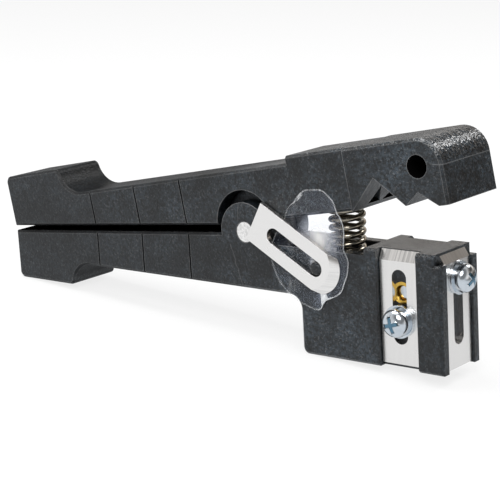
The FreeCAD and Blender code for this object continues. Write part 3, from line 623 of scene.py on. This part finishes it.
# Outline of the clear film: angle from +X in degrees and distance in millimetres, from its middle.
FILM_OUTLINE = [
    (5, 9.7), (46, 12.3), (63, 14.3), (73, 14.9), (90, 14.1), (113, 11.5), (143, 9.7), (201, 12.2),
    (227, 12.9), (257, 13.5), (277, 14.3), (290, 12.2), (310, 12.5), (328, 11.6), (350, 10.9),
]
FILM_THICKNESS = 0.1
FILM_PLAY = 0.01
FILM_SHIFT = -0.6
FILM_RINGS = (0.0, 0.2, 0.35, 0.48, 0.58, 0.67, 0.75, 0.82, 0.88, 0.93, 0.975, 1.0)
FILM_SPOKES = 120
# How far the film's rim curls out and its folds rise, and from where beyond the spare blade over what run.
RIM_CURL = 0.35
FOLD_HEIGHT = 0.4
FREE_START = 0.3
FREE_RUN = 1.2
# Way that the spare blade's nose points.
SPARE_AHEAD = Vector((0.875, 0.0, -0.485))
# Peg of the spare blade, in the tool's frame, and its rounded end.
PEG_TOP = Vector((21.5, -9.0, -6.3))
PEG_RADIUS = 1.45
PEG_DOME = 0.35


def film_reach(angle):
    """How far the film reaches at an angle in degrees, eased from corner to corner of its outline."""
    before = max((corner for corner in FILM_OUTLINE if corner[0] <= angle), default=FILM_OUTLINE[-1])
    after = min((corner for corner in FILM_OUTLINE if corner[0] > angle), default=FILM_OUTLINE[0])
    part = (angle - before[0]) % 360 / ((after[0] - before[0]) % 360)
    return before[1] + (after[1] - before[1]) * part * part * (3 - 2 * part)


def crest(off_line, half_width, inside, run):
    """Height of a fold: 1 on its line, falling off beside it, and rising over a run from where it starts."""
    return math.exp(-(off_line / half_width) ** 2) * min(1.0, max(0.0, inside) / run)


def film_folds(x, z):
    """Height of the wrinkle at the film's foot and of the fold at its head."""
    wrinkle = crest(x * 0.94 + z * 0.34 + 0.7, 1.0, -z - 7.0, 3)
    fold = crest(z * 0.93 - x * 0.37 - 12.2, 0.6, -x - 0.5, 2)
    return max(wrinkle, fold)


def add_peg_head():
    """The rounded end of the peg that holds the spare blade."""
    shape = bmesh.new()
    angles = [math.radians(15 * step) for step in range(7)]
    profile = [(0, PEG_RADIUS * math.sin(angle), PEG_DOME * math.cos(angle)) for angle in angles]
    turn_round(shape, profile + [(0, PEG_RADIUS, -PEG_DOME)], (0, 0, 1), 32)
    close_ends(shape)
    bmesh.ops.transform(shape, matrix=basis(tool @ PEG_TOP, (0, -1, 0), (0, 0, 1)), verts=shape.verts)
    head = add_piece("peg_head", shape, [finishes["black_plastic"]], "lower")


def add_film():
    """A thin irregular sheet under the spare blade: flat there, wrinkled and curled out beyond it."""
    low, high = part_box("retaining_film")
    centre = Vector(((low.x + high.x) / 2, high.y, (low.z + high.z) / 2))
    about_film = Matrix.Translation(centre) @ tool_turn @ Matrix.Scale(MM, 4)
    to_film = about_film.inverted()
    blade = [to_film @ vertex.co for vertex in nodes["spare_blade"].data.vertices]
    side = Vector((-SPARE_AHEAD.z, 0, SPARE_AHEAD.x))
    nose = max(point.dot(SPARE_AHEAD) for point in blade)
    flank_low = min(point.dot(side) for point in blade)
    flank_high = max(point.dot(side) for point in blade)
    shape = bmesh.new()
    turn_round(shape, [(ring, 0, 0) for ring in FILM_RINGS], (0, -1, 0), FILM_SPOKES)
    for vertex in shape.verts:
        ring = vertex.co.length
        vertex.co *= film_reach(math.degrees(math.atan2(vertex.co.z, vertex.co.x)) % 360)
        spot = vertex.co + Vector((FILM_SHIFT, 0, 0))
        across = spot.dot(side)
        beyond = max(spot.dot(SPARE_AHEAD) - nose, across - flank_high, flank_low - across)
        free = min(1.0, max(0.0, beyond - FREE_START) / FREE_RUN)
        folds = film_folds(vertex.co.x, vertex.co.z)
        vertex.co.y = -free * (RIM_CURL * ring ** 8 + FOLD_HEIGHT * folds)
    for face in shape.faces:
        spot = face.calc_center_median()
        rim = any(edge.is_boundary for edge in face.edges)
        face.material_index = 1 if rim or film_folds(spot.x, spot.z) > 0.5 else 0
    bmesh.ops.recalc_face_normals(shape, faces=shape.faces)
    bmesh.ops.solidify(shape, geom=shape.faces[:], thickness=FILM_THICKNESS)
    back = max(vertex.co.y for vertex in shape.verts)
    bmesh.ops.translate(shape, vec=(FILM_SHIFT, -back - FILM_PLAY, 0), verts=shape.verts)
    bmesh.ops.transform(shape, matrix=about_film, verts=shape.verts)
    film = add_piece("film_sheet", shape, [finishes["clear_film"], film_rim_highlight], "lower")
    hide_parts("retaining_film")


add_spring()
add_screw("front_screw", 20.0)
add_screw("rear_screw", 55.0)
add_screw("end_screw", 35.0)
add_peg_head()
add_film()


# Camera: its place and aim from the hinge, in the tool's frame, and the photograph's lens.
CAMERA_PLACE = Vector((239.4, -291.8, 80.1))
CAMERA_AIM = Vector((1.35, -7.8, -4.18))
CAMERA_ROLL = math.radians(-3.34)
FOCAL_LENGTH_PIXELS = 1605.0
IMAGE_PIXELS = 500.0
SENSOR_MM = 36.0
# Area lights: name, place in metres, size and watts. All aim at the tool's middle.
LIGHTS = [
    ("top_light", (-0.15, -0.05, 0.6), 0.4, 3.0),
    ("front_light", (0.3, -0.5, 0.6), 0.4, 3.0),
    ("back_light", (0.12, 0.45, 0.42), 0.14, 0.85),
]
LIGHT_AIM = Vector((0, 0, 0.02))
FLOOR_RADIUS = 3.0
# Light of the white room on all that doesn't shine.
AMBIENT = 0.45
# What shines sees the room behind the tool darker by this, and a strip there brighter by that.
BACK_DARK = 0.85
STRIP_BRIGHT = 1.15
# Darker parts of the room, which only what shines shows: direction, its cosine where the dark starts and
# where it is full, and how dark it is.
DARK_ROOM = [
    ((0.62, 0.74, 0.25), 0.80, 0.95, 0.70),
    ((0.45, -0.55, 0.70), 0.55, 0.80, 0.80),
    ((-0.58, -0.64, 0.50), 0.70, 0.90, 0.25),
]


def add_camera():
    data = bpy.data.cameras.new("camera")
    data.sensor_width = SENSOR_MM
    data.lens = FOCAL_LENGTH_PIXELS / IMAGE_PIXELS * SENSOR_MM
    data.clip_start = 0.01
    camera = bpy.data.objects.new("camera", data)
    bpy.context.scene.collection.objects.link(camera)
    forward = (CAMERA_AIM - CAMERA_PLACE).normalized()
    level = forward.cross(Vector((0, 0, 1))).normalized()
    steep = level.cross(forward)
    right = level * math.cos(CAMERA_ROLL) + steep * math.sin(CAMERA_ROLL)
    up = steep * math.cos(CAMERA_ROLL) - level * math.sin(CAMERA_ROLL)
    turn = Matrix((right, up, -forward)).transposed().to_4x4()
    camera.matrix_world = Matrix.Translation(tool @ CAMERA_PLACE) @ tool_turn @ turn
    bpy.context.scene.camera = camera


def add_area_light(name, place, size, watts):
    data = bpy.data.lights.new(name, "AREA")
    data.shape = "DISK"
    data.size = size
    data.energy = watts
    light = bpy.data.objects.new(name, data)
    light.location = place
    light.rotation_euler = (LIGHT_AIM - Vector(place)).to_track_quat("-Z", "Y").to_euler()
    bpy.context.scene.collection.objects.link(light)


def add_world():
    """White to the camera, and an even light on what is dull. What shines sees a room that is dark behind the
    tool, with a bright strip low in it, and dark in the directions listed above."""
    world = bpy.data.worlds.new("studio")
    world.use_nodes = True
    bpy.context.scene.world = world
    graph = Graph(world.node_tree)
    graph.place = graph.node("TexCoord", output="Generated")
    back = graph.ramp(graph.along((0.0, 1.0, 0.0)), (0.2, 0.0), (0.6, 1.0))
    level = graph.along((0.0, 0.0, 1.0))
    strip = graph.ramp(level, (0.10, 0.0), (0.17, 1.0)) * graph.ramp(level, (0.26, 1.0), (0.36, 0.0))
    shine = 1.0 - back * (BACK_DARK - STRIP_BRIGHT * strip)
    for direction, start, full, dark in DARK_ROOM:
        shine = shine * (1.0 - dark * graph.ramp(graph.along(direction), (start, 0.0), (full, 1.0)))
    seen = graph.node("LightPath", output="Is Camera Ray")
    mirrored = graph.node("LightPath", output="Is Glossy Ray")
    strength = AMBIENT + (1.0 - AMBIENT) * seen + mirrored * (shine - AMBIENT)
    backward = graph.ramp(graph.along((0.4, 0.9, 0.0)), (0.2, 0.0), (0.9, 1.0))
    colour = graph.mix(backward * mirrored, grey(1.0), grey(1.0, 0.12))
    graph.end(graph.node("Background", inputs={"Color": colour, "Strength": strength}), "OutputWorld")


def add_floor():
    """A pale floor that keeps the tool's shadow. It glows white to the camera, and to what shines it glows as a
    room that is dark far behind the tool.
    """
    finish = Finish("pale_floor")
    seen = finish.node("LightPath", output="Is Camera Ray")
    mirrored = finish.node("LightPath", output="Is Glossy Ray")
    lit = finish.node("BsdfDiffuse", inputs={"Color": grey(0.9)})
    far = finish.ramp(finish.along((0.6, 0.8, 0.0)), (0.12, 0.0), (0.19, 1.0))
    room = finish.mix(far, grey(0.8, -0.03), grey(0.12))
    white = finish.node("Emission", inputs={"Color": finish.mix(mirrored, grey(1.0), room)})
    finish.end(finish.node("MixShader", inputs={0: 0.8 * seen + 0.9 * mirrored, 1: lit, 2: white}))
    shape = bmesh.new()
    bmesh.ops.create_circle(shape, cap_ends=True, segments=64, radius=FLOOR_RADIUS)
    add_piece("floor", shape, [finish.material])


add_camera()
add_world()
add_floor()
for light in LIGHTS:
    add_area_light(*light)
bpy.context.scene.view_settings.view_transform = "Standard"
